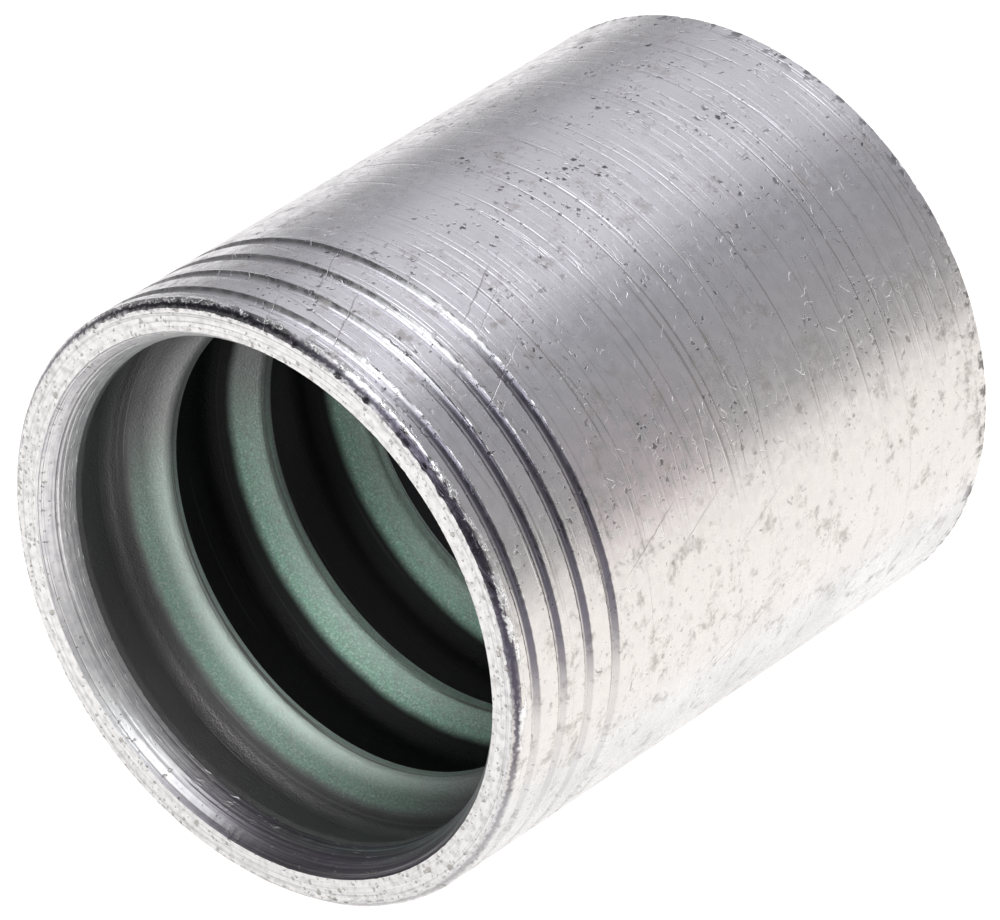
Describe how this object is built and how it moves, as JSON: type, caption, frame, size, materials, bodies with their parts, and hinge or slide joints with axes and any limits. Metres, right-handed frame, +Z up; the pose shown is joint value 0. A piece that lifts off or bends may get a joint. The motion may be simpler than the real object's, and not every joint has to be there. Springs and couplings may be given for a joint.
{
  "type": "hose crimp ferrule",
  "caption": "Turned steel sleeve that is crimped over a hose end: open mouth, inner grip teeth, marking grooves and an inward collar.",
  "frame": {"origin": "centre of the collar bore, on the ferrule's axis", "axes": "+Y along the axis, out of the collar end; the hose mouth faces -Y; +Z is up with the ferrule lying on its side"},
  "size_m": [0.05, 0.0575, 0.05],
  "materials": {
    "plated_steel": "turned, clear-passivated zinc plate, scratched and pitted from handling"
  },
  "bodies": {
    "root": {"ferrule": "plated_steel"}
  },
  "joints": []
}
